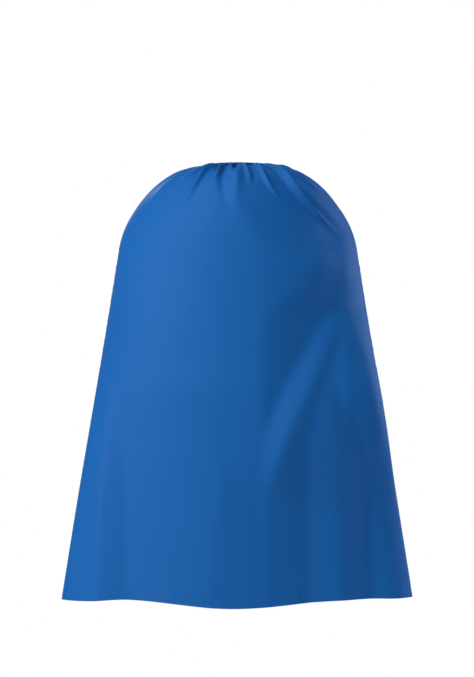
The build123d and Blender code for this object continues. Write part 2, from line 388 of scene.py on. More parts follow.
class Drape:
    """The draped cloth as a smooth surface over the flat cut, in metres across and down."""

    def __init__(self, grid):
        self.grid = grid
        self.rows = grid.shape[0] - 1
        self.columns = grid.shape[1] - 1

    def shares(self, x, y):
        """Shares u across and v down of a place on the flat cut."""
        v = y / CENTRE_LENGTH
        for _ in range(4):
            u = np.clip(-2 * x / cut_width(v), -1, 1)
            v = np.clip(y / cut_length(u), 0, 1)
        return u, v

    def at(self, x, y):
        """Points of the surface, by a cubic through the grid. Past an edge it stays on the edge."""
        u, v = self.shares(x, y)
        fi, fj = (u + 1) / 2 * self.columns, v * self.rows
        i0 = np.clip(np.floor(fi).astype(int), 0, self.columns - 1)
        j0 = np.clip(np.floor(fj).astype(int), 0, self.rows - 1)
        ti, tj = fi - i0, fj - j0
        point = 0.0
        for a, wa in enumerate(cubic_weights(tj)):
            ja = np.clip(j0 + a - 1, 0, self.rows)
            for b, wb in enumerate(cubic_weights(ti)):
                ib = np.clip(i0 + b - 1, 0, self.columns)
                point = point + self.grid[ja, ib] * (wa * wb)[..., None]
        return point

    def frame(self, x, y):
        """Points, outward normals and the two unit tangents, also past the edges."""
        x, y = np.broadcast_arrays(np.asarray(x, float), np.asarray(y, float))
        u, v = self.shares(x, y)
        inside_x = -u * cut_width(v) / 2
        inside_y = v * cut_length(u)
        step = 2.5 * MM
        near_x = np.clip(inside_x, step - cut_width(v) / 2, cut_width(v) / 2 - step)
        near_y = np.clip(inside_y, step, cut_length(u) - step)
        across = unit(self.at(near_x + step, near_y) - self.at(near_x - step, near_y))
        down = unit(self.at(near_x, near_y + step) - self.at(near_x, near_y - step))
        out = unit(np.cross(across, down))
        point = self.at(inside_x, inside_y)
        point = point + across * (x - inside_x)[..., None] + down * (y - inside_y)[..., None]
        return point, out, across, down


def cubic_weights(t):
    """Weights of four neighbouring points for a cubic that passes through them."""
    return (
        ((-0.5 * t + 1.0) * t - 0.5) * t,
        (1.5 * t - 2.5) * t * t + 1.0,
        ((-1.5 * t + 2.0) * t + 0.5) * t,
        (0.5 * t - 0.5) * t * t,
    )


# ------------ panel and hems

SIDE_HEM_WIDTH = 12 * MM
BOTTOM_HEM_WIDTH = 15 * MM
STITCH_INSET = 2 * MM

# A turned hem's depth below the cloth's middle, how far its fold stands up and out at the edge, and
# how much deeper the bottom hem lies where it crosses a side hem
HEM_DEPTH, CROSSING_DEPTH = 1.1 * MM, 0.75 * MM
FOLD_TOP, FOLD_REACH = 0.3 * MM, 0.62 * MM

# Waves that stitching leaves in the cloth: length, share of the height and share of the shift. Then
# how far their middle lies from a side edge and from the hem, and how wide they are there.
PUCKER_WAVES = ((16.3 * MM, 1.0, 1.0), (10.7 * MM, 0.8, 2.1), (41 * MM, 0.9, 3.7))
PUCKER_HEIGHT = 0.16 * MM
SIDE_PUCKERS = (9 * MM, 7 * MM)
HEM_PUCKERS = (12 * MM, 8 * MM)

# Distances from an edge of the flat cut at which the panel has extra rows of points
EDGE_STEPS = tuple(d * MM for d in (0, 0.8, 2.5, 5, 7.5, 10, 12.5, 15, 18))


def side_limit(y):
    """Half width of the flat cut at a distance below the neck edge."""
    return cut_width(y / cut_length(1.0)) / 2


def hem_limit(x):
    """Length of the flat cut at a distance from its middle line."""
    return cut_length(np.clip(2 * x / HEM_WIDTH, -1, 1))


def cut_places(inner_columns, inner_rows):
    """Places over the whole flat cut, closer together along the edges."""
    margin = EDGE_STEPS[-1]
    near = np.array(EDGE_STEPS[:-1])
    share = np.linspace(-1, 1, inner_columns)
    down = np.linspace(0, 1, inner_rows) ** 1.15
    columns = len(near) * 2 + inner_columns
    rows = inner_rows + len(near)
    x, y = np.zeros((rows, columns)), np.zeros((rows, columns))
    y[:] = np.linspace(0, CENTRE_LENGTH, rows)[:, None]
    for _ in range(5):
        half = side_limit(y)
        x[:, : len(near)] = half[:, : len(near)] - near
        x[:, len(near) : -len(near)] = -share * (half[:, len(near) : -len(near)] - margin)
        x[:, -len(near) :] = near[::-1] - half[:, -len(near) :]
        length = hem_limit(x)
        y[:inner_rows] = down[:, None] * (length[:inner_rows] - margin)
        y[inner_rows:] = length[inner_rows:] - near[::-1][:, None]
    return x, y


def pucker(along, away, place, shift):
    """Small uneven waves that a row of stitching leaves in the cloth."""
    middle, width = place
    waves = 0.0
    for length, share, shift_share in PUCKER_WAVES:
        waves = waves + share * np.sin(2 * np.pi * along / length + shift_share * shift)
    return waves * np.exp(-(((away - middle) / width) ** 2))


def cloth_relief(x, y):
    """Fine height of the cloth over the smooth drape: the puckers along its hems."""
    from_side = side_limit(y) - np.abs(x)
    from_hem = hem_limit(x) - y
    return PUCKER_HEIGHT * (pucker(y, from_side, SIDE_PUCKERS, 1.3) + pucker(x, from_hem, HEM_PUCKERS, 2.6))


def on_cloth(drape, x, y, height=0.0):
    """Points and normals at a height above the middle of the cloth's thickness."""
    point, out, across, down = drape.frame(x, y)
    lift = cloth_relief(x, y) + height
    return point + out * np.asarray(lift)[..., None], out


def cape_panel(drape, inner_columns, inner_rows):
    """The cape's cloth as a thin closed sheet, its inside in a second material slot."""
    x, y = cut_places(inner_columns, inner_rows)
    outer, _ = on_cloth(drape, x, y, CLOTH_THICKNESS / 2)
    inner, _ = on_cloth(drape, x, y, -CLOTH_THICKNESS / 2)
    rows, columns = x.shape
    count = rows * columns
    points = np.concatenate([outer.reshape(-1, 3), inner.reshape(-1, 3)])
    place = np.stack([x, y], axis=-1).reshape(-1, 2)
    faces = grid_faces(columns, rows)
    inside = [tuple(reversed(face)) for face in grid_faces(columns, rows, count)]
    rim = [(a, b, b + count, a + count) for a, b in grid_border(columns, rows)]
    made = mesh_object("cape_panel", points, faces + inside + rim, np.concatenate([place, place]))
    kinds = np.zeros(len(made.data.polygons), dtype=int)
    kinds[len(faces) :] = 1
    made.data.polygons.foreach_set("material_index", kinds)
    return made


def hem_outline(width):
    """Section of a turned hem: distance in from the cloth's edge and height, a closed loop."""
    low, high = -HEM_DEPTH, -CLOTH_THICKNESS / 2 - 0.02 * MM
    middle = (low + FOLD_TOP) / 2
    fold = [
        (-FOLD_REACH * math.sin(t), middle + (FOLD_TOP - middle) * math.cos(t))
        for t in np.linspace(0, math.pi, 7)
    ]
    return fold + [
        (width * 0.5, low + 0.05 * MM),
        (width - 0.5 * MM, low + 0.12 * MM),
        (width, (low + high) / 2),
        (width - 0.5 * MM, high),
        (width * 0.5, high),
        (0.8 * MM, high),
        (0.6 * MM, 0.26 * MM),
    ]


def swept_hem(name, drape, outline, stations):
    """Closed strip with the outline's section at each station, which maps an inset to a place."""
    insets = np.array([d for d, _ in outline])
    heights = np.array([h for _, h in outline])
    rings, places = [], []
    for place_at, drop in stations:
        x, y = place_at(insets)
        x, y = np.broadcast_arrays(x, y)
        points, _ = on_cloth(drape, x, y, np.where(heights < 0, heights - drop, heights))
        rings.append(points)
        places.append(np.stack([x, y], axis=-1))
    faces = tube_faces(len(rings), len(outline))
    return mesh_object(name, np.concatenate(rings), faces, np.concatenate(places))


def side_hem(name, drape, side):
    """Turned hem of one side edge, from the neck down into the bottom hem."""
    end = cut_length(1.0) - 3 * MM
    stations = []
    for y in np.arange(1.5 * MM, end, 3 * MM):
        stations.append((lambda inset, y=y: (side * (side_limit(y) - inset), y), 0.0))
    return swept_hem(name, drape, hem_outline(SIDE_HEM_WIDTH), stations)


def bottom_hem(name, drape):
    """Turned hem of the lower edge. Its ends lie over the side hems."""
    reach, ramp = HEM_WIDTH / 2 + 0.7 * MM, 3 * MM
    stations = []
    for x in np.linspace(-reach, reach, 300):
        over = min(1.0, max(0.0, (abs(x) - reach + SIDE_HEM_WIDTH + ramp) / ramp))
        stations.append((lambda inset, x=x: (x, hem_limit(x) - inset), CROSSING_DEPTH * over))
    return swept_hem(name, drape, hem_outline(BOTTOM_HEM_WIDTH), stations)


# ------------ threads


def stitch_row(points, normals, pitch=3.4 * MM, length=2.6 * MM, radius=0.2 * MM):
    """Points and faces of separate stitches along a path that lies on a surface."""
    points, normals = np.asarray(points, float), np.asarray(normals, float)
    run = np.concatenate([[0.0], np.cumsum(np.linalg.norm(np.diff(points, axis=0), axis=1))])
    steps, around = 5, 5
    made_points, made_faces = [], []
    for k in range(int(run[-1] / pitch)):
        start = (k + 0.5) * pitch - length / 2
        s = np.linspace(start, start + length, steps)
        line = np.stack([np.interp(s, run, points[:, c]) for c in range(3)], axis=-1)
        up = np.stack([np.interp(s, run, normals[:, c]) for c in range(3)], axis=-1)
        arch = np.sin(np.linspace(0.12, math.pi - 0.12, steps))
        line = line + up * (radius * (1.5 * arch - 0.9))[:, None]
        forward = unit(np.gradient(line, axis=0))
        sideways = np.cross(up, forward)
        over = np.cross(forward, sideways)
        girth = radius * (0.55 + 0.45 * arch)
        first = len(made_points)
        for centre, a, b, g in zip(line, sideways, over, girth):
            for i in range(around):
                t = 2 * math.pi * i / around
                made_points.append(centre + (a * math.cos(t) + b * math.sin(t)) * g)
        made_faces += tube_faces(steps, around, first=first)
    return made_points, made_faces


def thread_piece(name, rows):
    """One object of several rows of stitches."""
    points, faces = [], []
    for row_points, row_faces in rows:
        first = len(points)
        points += row_points
        faces += [tuple(k + first for k in face) for face in row_faces]
    return mesh_object(name, points, faces)


def cloth_stitches(drape, x, y, outside):
    """Row of stitches along flat places, on the cloth's outside or its hemmed inside."""
    height = CLOTH_THICKNESS / 2 if outside else -HEM_DEPTH
    points, out = on_cloth(drape, x, y, height)
    return stitch_row(points, out if outside else -out)


# ------------ neck binding

BINDING_WALL = 0.8 * MM
BAND_END_X = -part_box("loop_tab")[0].x
BAND_MIDDLE = BAND_WIDTH / 2


def neck_line(turn, out=0.0, level=0.0):
    """Point and outward normal on the neck's oval, at a distance out from the binding's middle."""
    a, b = NECK_HALF_WIDTH + BAND_MIDDLE, NECK_HALF_DEPTH + BAND_MIDDLE
    normal = unit(np.array([math.cos(turn) / a, math.sin(turn) / b, 0.0]))
    point = np.array([a * math.cos(turn), b * math.sin(turn), level])
    return point + normal * out, normal


def band_ends():
    """Turns at which the binding starts and ends, at the front opening."""
    front = math.acos(BAND_END_X / (NECK_HALF_WIDTH + BAND_MIDDLE))
    return -front, math.pi + front


def band_profile(height):
    """Section of the folded binding, open below: distance out from its middle, and level."""
    half, round_off = BAND_MIDDLE, 1.1 * MM
    outer = [(half, -height + 0.25 * MM)]
    for centre, start in ((half - round_off, 0), (round_off - half, math.pi / 2)):
        for t in np.linspace(start, start + math.pi / 2, 5):
            outer.append((centre + round_off * math.cos(t), -round_off * (1 - math.sin(t))))
    outer.append((-half, -height + 0.25 * MM))
    inner_half = half - BINDING_WALL
    return outer + [
        (-half + 0.2 * MM, -height),
        (-inner_half, -height + 0.1 * MM),
        (-inner_half, -BINDING_WALL - 0.3 * MM),
        (-inner_half + 0.4 * MM, -BINDING_WALL),
        (inner_half - 0.4 * MM, -BINDING_WALL),
        (inner_half, -BINDING_WALL - 0.3 * MM),
        (inner_half, -height + 0.1 * MM),
        (half - 0.2 * MM, -height),
    ]


def band_wave(turn):
    """Slight unevenness of the binding where it grips the gathers."""
    return 0.5 * math.sin(23 * turn) + 0.35 * math.sin(37 * turn + 1.0) + 0.3 * math.sin(11 * turn)


def neck_binding():
    height = -FORM_TOP
    profile = band_profile(height)
    start, end = band_ends()
    points, places = [], []
    turns = np.linspace(start, end, 420)
    for k, turn in enumerate(turns):
        wave = band_wave(turn)
        for out, level in profile:
            grip = 1 + 0.05 * wave * (level / height)
            point, _ = neck_line(turn, out * grip, level + 0.12 * MM * wave * (level / height - 0.4))
            points.append(point)
            places.append((turn * NECK_HALF_WIDTH, out + level))
    faces = tube_faces(len(turns), len(profile))
    return mesh_object("neck_binding", points, faces, places)


def band_stitches():
    """The row of stitching that closes the binding, outside and inside."""
    start, end = band_ends()
    turns = np.linspace(start + 0.03, end - 0.03, 500)
    rows = []
    for side in (1, -1):
        points, normals = [], []
        for turn in turns:
            out = side * BAND_MIDDLE * (1 + 0.035 * band_wave(turn))
            point, normal = neck_line(turn, out, FORM_TOP + 1.1 * MM)
            points.append(point)
            normals.append(side * normal)
        rows.append(stitch_row(points, normals, pitch=2.9 * MM, length=2.2 * MM))
    return thread_piece("binding_stitches", rows)


# Threads in a bar tack, the turn from the binding's end to the first, and from each to the next
TACK_THREADS, TACK_START, TACK_PITCH = 9, 0.055, 0.0075


def bar_tack_threads():
    """Close upright stitches that lock the binding at each end of the opening."""
    start, end = band_ends()
    low, high = FORM_TOP + 0.6 * MM, -0.6 * MM
    sizes = {"pitch": (high - low) * 0.999, "length": (high - low) * 0.96, "radius": 0.22 * MM}
    rows = []
    for edge, way in ((start, 1), (end, -1)):
        for side in (1, -1):
            out = side * (BAND_MIDDLE + 0.06 * MM)
            for k in range(TACK_THREADS):
                turn = edge + way * (TACK_START + TACK_PITCH * k) + 0.003 * (k % 2)
                ends = [neck_line(turn, out, level) for level in (low, high)]
                rows.append(stitch_row([p for p, _ in ends], [side * n for _, n in ends], **sizes))
    return thread_piece("bar_tack_threads", rows)


# ------------ closure


# Distance from the middle up to which the straps are flat, and the depth and reach of their bow
STRAP_FLAT = 21.5 * MM
STRAP_BOW, STRAP_BOW_REACH = 0.9 * MM, 22 * MM


def strap_bow(x):
    """How far the closure's straps bow forward between the two ends of the binding."""
    return -STRAP_BOW * max(0.0, 1 - (x / STRAP_BOW_REACH) ** 2)


def soft_plate(name, low, high, corner, place, step):
    """Rounded-edged plate over a rectangle in X and Z, its thickness along Y. place maps a point."""
    middle = [(a + b) / 2 for a, b in zip(low, high)]
    half_x, half_y, half_z = ((b - a) / 2 for a, b in zip(low, high))
    rim = min(half_y, 0.45 * MM)
    near = [0.0, 0.25 * rim, 0.6 * rim, rim, 2 * rim]

    def spread(half):
        inner = np.linspace(-half + near[-1], half - near[-1], max(3, int(2 * half / step)))
        edge = [-half + d for d in near[:-1]]
        return np.array(edge + list(inner) + [-e for e in reversed(edge)])

    xs, zs = spread(half_x), spread(half_z)
    points, places = [], []
    for face in (-1, 1):
        for z in zs:
            for x in xs:
                inset = min(half_x - abs(x), half_z - abs(z))
                share = min(1.0, max(0.0, inset / rim))
                thick = half_y - rim + rim * math.sqrt(max(0.04, 1 - (1 - share) ** 2))
                cx, cz = abs(x) - (half_x - corner), abs(z) - (half_z - corner)
                px, pz = x, z
                if cx > 0 and cz > 0:
                    scale = max(cx, cz) / math.hypot(cx, cz)
                    px = math.copysign(half_x - corner + cx * scale, x)
                    pz = math.copysign(half_z - corner + cz * scale, z)
                points.append(place(middle[0] + px, middle[1] + face * thick, middle[2] + pz))
                places.append((px, pz))
    columns, rows = len(xs), len(zs)
    count = columns * rows
    faces = [(a, d, c, b) for a, b, c, d in grid_faces(columns, rows)]
    faces += grid_faces(columns, rows, count)
    faces += [(b, a, a + count, b + count) for a, b in grid_border(columns, rows)]
    return mesh_object(name, points, faces, places)


def along_neck(distance, out):
    """Point and normal at a distance along the neck's oval, from where the flat straps end."""
    turn = -math.acos(STRAP_FLAT / (NECK_HALF_WIDTH + BAND_MIDDLE))
    here, normal = neck_line(turn, out)
    strides, small_turn = 8, 0.001
    for _ in range(strides):
        ahead, _ = neck_line(turn + small_turn, out)
        turn += distance / strides / np.linalg.norm(ahead - here) * small_turn
        here, normal = neck_line(turn, out)
    return here, normal


def strap(name, node, side, taper_start, out):
    """Tab of the closure: a doubled strip of cloth that narrows and runs on along the binding."""
    low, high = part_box(node)
    strap_y, centre_z, height = (low.y + high.y) / 2, (low.z + high.z) / 2, high.z - low.z
    reach = 30 * MM
    corner_low = (low.x if side > 0 else -reach, low.y, low.z)
    corner_high = (reach if side > 0 else high.x, high.y, high.z)
    end_height, end_level = -FORM_TOP - 1.2 * MM, FORM_TOP / 2 - 0.4 * MM

    def place(x, y, z):
        far = side * x
        share = smooth((far - taper_start) / (BAND_END_X - taper_start))
        scale = 1 + (end_height / height - 1) * share
        level = centre_z + (end_level - centre_z) * share + (z - centre_z) * scale
        if far <= STRAP_FLAT:
            return (x, y + strap_bow(x), level)
        point, normal = along_neck(far - STRAP_FLAT, out)
        point = point + normal * (strap_y - y)
        ease = min(1.0, (far - STRAP_FLAT) / (3 * MM))
        point = point * ease + np.array([far, y, 0.0]) * (1 - ease)
        return (side * point[0], point[1], level)

    return soft_plate(name, corner_low, corner_high, 3.5 * MM, place, 1.2 * MM)


def bowed(x, y, z):
    return (x, y + strap_bow(x), z)


# Tufts of the fastening tape: pitch, distance from the patch's edge, and unevenness in millimetres.
# Then each kind's side, thread radius and arc, as distances along and out in millimetres.
TUFT_PITCH, TUFT_MARGIN, TUFT_STRAY = 1.15 * MM, 1.2 * MM, 0.15
TUFTS = {
    "hooks": (1, 0.085 * MM, ((0, 0), (0.05, 0.2), (0.1, 0.36), (0.27, 0.43), (0.4, 0.33))),
    "loops": (-1, 0.06 * MM, ((-0.35, 0), (-0.38, 0.2), (0, 0.42), (0.38, 0.2), (0.35, 0))),
}


def tufts(name, base, low, high, kind):
    """Tiny hooks or loops that stand on a fastening patch, from the plane y = base towards one side."""
    way, radius, arc = TUFTS[kind]
    across = int((high.x - low.x - 2 * MM) / TUFT_PITCH)
    up = int((high.z - low.z - 2 * MM) / TUFT_PITCH)
    points, faces = [], []
    for i in range(across):
        for k in range(up):
            x = low.x + TUFT_MARGIN + i * TUFT_PITCH + random.uniform(-TUFT_STRAY, TUFT_STRAY) * MM
            z = low.z + TUFT_MARGIN + k * TUFT_PITCH + random.uniform(-TUFT_STRAY, TUFT_STRAY) * MM
            if kind == "loops":
                lean = random.uniform(0, math.pi)
            else:
                lean = 0.0 if k % 2 else math.pi
            first = len(points)
            for along_mm, out_mm in arc:
                middle_x = x + along_mm * MM * math.cos(lean)
                middle_y = base + way * out_mm * MM
                middle_z = z + along_mm * MM * math.sin(lean)
                for s in range(4):
                    t = math.pi / 2 * s
                    slant = radius * math.sin(t) * 0.5
                    ring_x = radius * math.cos(t) * math.sin(lean) + slant
                    ring_y = radius * math.sin(t)
                    ring_z = radius * math.cos(t) * math.cos(lean) + slant
                    points.append(bowed(middle_x + ring_x, middle_y + ring_y, middle_z + ring_z))
            faces += tube_faces(len(arc), 4, first=first)
    return mesh_object(name, points, faces)


def fastening_patch(name, node, kind):
    """Patch of hook or loop tape: a thin woven ground and the tufts that stand on it."""
    low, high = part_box(node)
    ground = 0.4 * MM
    if kind == "hooks":
        base = low.y + ground
        ground_low, ground_high = low, (high.x, base, high.z)
    else:
        base = high.y - ground
        ground_low, ground_high = (low.x, base, low.z), high
    plate = soft_plate(name, ground_low, ground_high, 0.8 * MM, bowed, 1.2 * MM)
    return plate, tufts(name + "_" + kind, base, low, high, kind)


def box_stitching(name, node, face_y, way):
    """Rectangle of stitches round a fastening patch, on the far face of its strap."""
    low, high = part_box(node)
    inset = 1.3 * MM
    x0, x1, z0, z1 = low.x + inset, high.x - inset, low.z + inset, high.z - inset
    corners = [(x0, z0), (x1, z0), (x1, z1), (x0, z1), (x0, z0)]
    rows = []
    for (xa, za), (xb, zb) in zip(corners, corners[1:]):
        line = [(xa + (xb - xa) * s, za + (zb - za) * s) for s in np.linspace(0, 1, 12)]
        points = [bowed(x, face_y, z) for x, z in line]
        normals = [(0.0, way, 0.0)] * len(points)
        rows.append(stitch_row(points, normals, pitch=2.4 * MM, length=1.8 * MM, radius=0.17 * MM))
    return thread_piece(name, rows)


# ------------ label


# The label's top edge, where it leaves the binding and over what length, and its curve across
LABEL_LOW, LABEL_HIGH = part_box("care_label")
LABEL_TOP = FORM_TOP + 3 * MM
LABEL_BEND, LABEL_BEND_LENGTH = FORM_TOP + 0.5 * MM, 3 * MM
LABEL_CURVE = 1.25 * MM


def label_ribbon():
    """Blank care label: its top is sewn to the inside of the binding, and it hangs free below."""
    low, high = LABEL_LOW, LABEL_HIGH
    middle_y = (low.y + high.y) / 2

    def place(x, y, z):
        below = LABEL_TOP - z
        free = smooth((LABEL_BEND - z) / LABEL_BEND_LENGTH)
        fallen = below / (LABEL_TOP - low.z)
        across = (x / high.x) ** 2
        on_band = NECK_HALF_DEPTH - 0.35 * MM - LABEL_CURVE * across
        hanging = middle_y - 1.4 * MM * fallen - 4 * MM * fallen**3
        hanging -= (1.1 - 1.6 * fallen) * MM * across
        hanging += 0.5 * MM * math.sin(below * 160 + x * 90) * fallen
        depth = on_band + (hanging - on_band) * free + y - middle_y
        return (x, depth, z + 2.2 * MM * fallen**4)

    far_corner = (high.x, high.y, LABEL_TOP)
    return soft_plate("label_ribbon", tuple(low), far_corner, 0.6 * MM, place, 1 * MM)


def label_stitches():
    """Two rows of stitches through the label's top and the binding."""
    width = LABEL_HIGH.x
    normals = [(0.0, -1.0, 0.0)] * 14
    rows = []
    for level in (FORM_TOP + 1.2 * MM, FORM_TOP + 2.3 * MM):
        line = []
        for x in np.linspace(1.2 * MM - width, width - 1.2 * MM, len(normals)):
            line.append((x, NECK_HALF_DEPTH - 0.62 * MM - LABEL_CURVE * (x / width) ** 2, level))
        rows.append(stitch_row(line, normals, pitch=2.2 * MM, length=1.7 * MM, radius=0.15 * MM))
    return thread_piece("label_stitches", rows)


# ------------ materials


class Paint:
    """Small helper that builds a procedural material's nodes."""

    def __init__(self, name):
        self.material = bpy.data.materials.new(name)
        self.material.use_nodes = True
        self.tree = self.material.node_tree
        self.shader = self.tree.nodes["Principled BSDF"]

    def put(self, made, inputs):
        """Links or sets a node's inputs."""
        for key, value in inputs.items():
            if isinstance(value, bpy.types.NodeSocket):
                self.tree.links.new(value, made.inputs[key])
            else:
                made.inputs[key].default_value = value

    def node(self, kind, inputs, **settings):
        """Outputs of a new node."""
        made = self.tree.nodes.new(kind)
        for key, value in settings.items():
            setattr(made, key, value)
        self.put(made, inputs)
        return made.outputs

    def math(self, kind, a, b=0.0, c=0.0):
        return self.node("ShaderNodeMath", {0: a, 1: b, 2: c}, operation=kind)[0]

    def cloth_place(self):
        """The flat cut's own coordinates, in metres, whole and as two numbers."""
        place = self.node("ShaderNodeUVMap", {}, uv_map="cloth")[0]
        split = self.node("ShaderNodeSeparateXYZ", {0: place})
        return place, split[0], split[1]

    def object_place(self):
        """The object's own coordinates, in metres, whole and as three numbers."""
        place = self.node("ShaderNodeTexCoord", {})["Object"]
        return place, *self.node("ShaderNodeSeparateXYZ", {0: place})

    def noise(self, vector, scale, detail):
        inputs = {"Vector": vector, "Scale": scale, "Detail": detail}
        return self.node("ShaderNodeTexNoise", inputs)[0]

    def mix(self, share, first, second):
        return self.node("ShaderNodeMix", {0: share, 6: first, 7: second}, data_type="RGBA")[2]

    def bump(self, height, distance, strength):
        inputs = {"Height": height, "Distance": distance, "Strength": strength}
        self.put(self.shader, {"Normal": self.node("ShaderNodeBump", inputs)[0]})

    def stretch(self, vector, x, y):
        inputs = {0: vector, 1: (x, y, 1.0)}
        return self.node("ShaderNodeVectorMath", inputs, operation="MULTIPLY")[0]

    def wave(self, value, pitch):
        """A sine along value, from 0 to 1."""
        turned = self.math("MULTIPLY", value, 2 * math.pi / pitch)
        return self.math("MULTIPLY_ADD", self.math("SINE", turned), 0.5, 0.5)

    def shaded(self, inputs):
        """Sets the shader's inputs and returns the finished material."""
        self.put(self.shader, inputs)
        return self.material


def satin(name, dark, light, roughness):
    """Polyester satin: fine floats across the width, slubs and a soft change of tone."""
    paint = Paint(name)
    place, x, y = paint.cloth_place()
    broad = paint.noise(place, 5.0, 3.0)
    floats = paint.noise(paint.stretch(place, 260.0, 2400.0), 1.0, 2.0)
    slubs = paint.noise(paint.stretch(place, 14.0, 900.0), 1.0, 1.0)
    tone = paint.math("MULTIPLY_ADD", broad, 0.55, paint.math("MULTIPLY", floats, 0.3))
    tone = paint.math("MULTIPLY_ADD", slubs, 0.15, tone)
    twill = paint.math("MULTIPLY_ADD", y, 0.35, x)
    weave = paint.math("MULTIPLY", paint.wave(twill, 0.9 * MM), paint.wave(y, 0.55 * MM))
    height = paint.math("MULTIPLY_ADD", floats, 0.7, paint.math("MULTIPLY", weave, 0.5))
    paint.bump(height, 0.03 * MM, 0.5)
    return paint.shaded({
        "Base Color": paint.mix(tone, dark, light),
        "Roughness": paint.math("MULTIPLY_ADD", floats, 0.14, roughness - 0.07),
        "Specular IOR Level": 0.15,
        "Sheen Weight": 0.1,
        "Sheen Roughness": 0.35,
        "Sheen Tint": (0.25, 0.5, 1.0, 1.0),
    })


def woven(name, dark, light, pitch, roughness=0.7, sheen=0.1):
    """Plain woven ribbon or tape, ribbed both ways."""
    paint = Paint(name)
    place, x, y, z = paint.object_place()
    ribs = paint.wave(paint.math("ADD", x, y), pitch)
    ribs = paint.math("ADD", ribs, paint.wave(z, pitch * 0.8))
    fuzz = paint.noise(place, 900.0, 3.0)
    tone = paint.math("MULTIPLY_ADD", ribs, 0.3, paint.math("MULTIPLY", fuzz, 0.4))
    paint.bump(paint.math("ADD", ribs, fuzz), 0.08 * MM, 0.8)
    return paint.shaded({
        "Base Color": paint.mix(tone, dark, light),
        "Roughness": paint.math("MULTIPLY_ADD", fuzz, 0.1, roughness),
        "Sheen Weight": sheen,
    })


def thread(name, dark, light):
    """Twisted polyester thread."""
    paint = Paint(name)
    place, x, y, z = paint.object_place()
    lean = paint.math("MULTIPLY_ADD", z, 1.4, paint.math("ADD", x, y))
    ply = paint.wave(lean, 0.45 * MM)
    fuzz = paint.noise(place, 2500.0, 2.0)
    tone = paint.math("MULTIPLY_ADD", ply, 0.6, paint.math("MULTIPLY", fuzz, 0.4))
    paint.bump(ply, 0.06 * MM, 0.9)
    return paint.shaded({
        "Base Color": paint.mix(tone, dark, light),
        "Roughness": paint.math("MULTIPLY_ADD", fuzz, 0.2, 0.45),
        "Specular IOR Level": 0.25,
    })


def floor_paint():
    paint = Paint("floor_paint")
    speckle = paint.noise(paint.node("ShaderNodeTexCoord", {})["Object"], 3.0, 3.0)
    return paint.shaded({
        "Base Color": paint.mix(speckle, (0.80, 0.80, 0.79, 1), (0.86, 0.86, 0.85, 1)),
        "Roughness": paint.math("MULTIPLY_ADD", speckle, 0.1, 0.7),
    })


CLOTH_DARK = (0.003, 0.092, 0.325, 1)
CLOTH_LIGHT = (0.005, 0.108, 0.382, 1)
outer_satin = satin("outer_satin", CLOTH_DARK, CLOTH_LIGHT, 0.6)
inner_satin = satin("inner_satin", (0.006, 0.06, 0.25, 1), (0.010, 0.088, 0.33, 1), 0.6)
# The binding satin is the outer satin made darker: painted shade for the dark line along the neck's top
# edge. The closure's straps carry the same painted shade.
painted_shade_satin = satin("painted_shade_satin", (0.004, 0.05, 0.2, 1), (0.006, 0.075, 0.28, 1), 0.5)
blue_thread = thread("blue_thread", (0.006, 0.06, 0.25, 1), (0.016, 0.13, 0.45, 1))
white_thread = thread("white_thread", (0.55, 0.55, 0.56, 1), (0.8, 0.8, 0.8, 1))
cotton_tape = woven("cotton_tape", (0.008, 0.05, 0.2, 1), (0.014, 0.085, 0.3, 1), 0.8 * MM)
hook_nylon = woven("hook_nylon", (0.008, 0.04, 0.17, 1), (0.012, 0.065, 0.25, 1), 0.6 * MM, 0.4)
loop_nylon = woven("loop_nylon", (0.008, 0.045, 0.19, 1), (0.013, 0.08, 0.3, 1), 0.6 * MM, 0.75, 0.3)
label_satin = woven("label_satin", (0.62, 0.62, 0.62, 1), (0.82, 0.82, 0.81, 1), 0.5 * MM, 0.4)


def painted(made, *materials):
    made.data.materials.clear()
    for material in materials:
        made.data.materials.append(material)
    return made


# ------------ the cape

drape = Drape(hanging_grid(columns=420, rows=420))

panel = painted(cape_panel(drape, inner_columns=240, inner_rows=260), outer_satin, inner_satin)
left_hem = painted(side_hem("left_hem", drape, 1), outer_satin)
right_hem = painted(side_hem("right_hem", drape, -1), outer_satin)
lower_hem = painted(bottom_hem("lower_hem", drape), outer_satin)

side_rows, lower_rows = [], []
seam = SIDE_HEM_WIDTH - STITCH_INSET
down = np.arange(3 * MM, cut_length(1.0) - BOTTOM_HEM_WIDTH, 2 * MM)
for side in (1, -1):
    for outside in (True, False):
        side_rows.append(cloth_stitches(drape, side * (side_limit(down) - seam), down, outside))
across = np.linspace(2 * MM - HEM_WIDTH / 2, HEM_WIDTH / 2 - 2 * MM, 400)
above_hem = hem_limit(across) - (BOTTOM_HEM_WIDTH - STITCH_INSET)
for outside in (True, False):
    lower_rows.append(cloth_stitches(drape, across, above_hem, outside))
side_stitches = painted(thread_piece("side_stitches", side_rows), blue_thread)
lower_stitches = painted(thread_piece("lower_stitches", lower_rows), blue_thread)

binding = painted(neck_binding(), painted_shade_satin)
binding_stitches = painted(band_stitches(), blue_thread)
tacks = painted(bar_tack_threads(), blue_thread)
tape = painted(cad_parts["gathering_tape"], cotton_tape)

loop_strap = strap("loop_strap", "loop_tab", side=-1, taper_start=16.5 * MM, out=-0.5 * MM)
hook_strap = strap("hook_strap", "closure_tab", side=1, taper_start=12 * MM, out=2.65 * MM)
loop_ground, loop_tufts = fastening_patch("loop_ground", "loop_patch", "loops")
hook_ground, hook_tufts = fastening_patch("hook_ground", "hook_patch", "hooks")
loop_face, hook_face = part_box("loop_tab")[1].y + 0.1 * MM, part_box("closure_tab")[0].y - 0.1 * MM
loop_stitches = painted(box_stitching("loop_stitches", "loop_patch", loop_face, 1), blue_thread)
hook_stitches = painted(box_stitching("hook_stitches", "hook_patch", hook_face, -1), blue_thread)
for piece, material in (
    (loop_strap, painted_shade_satin),
    (hook_strap, painted_shade_satin),
    (loop_ground, loop_nylon),
    (loop_tufts, loop_nylon),
    (hook_ground, hook_nylon),
    (hook_tufts, hook_nylon),
):
    painted(piece, material)

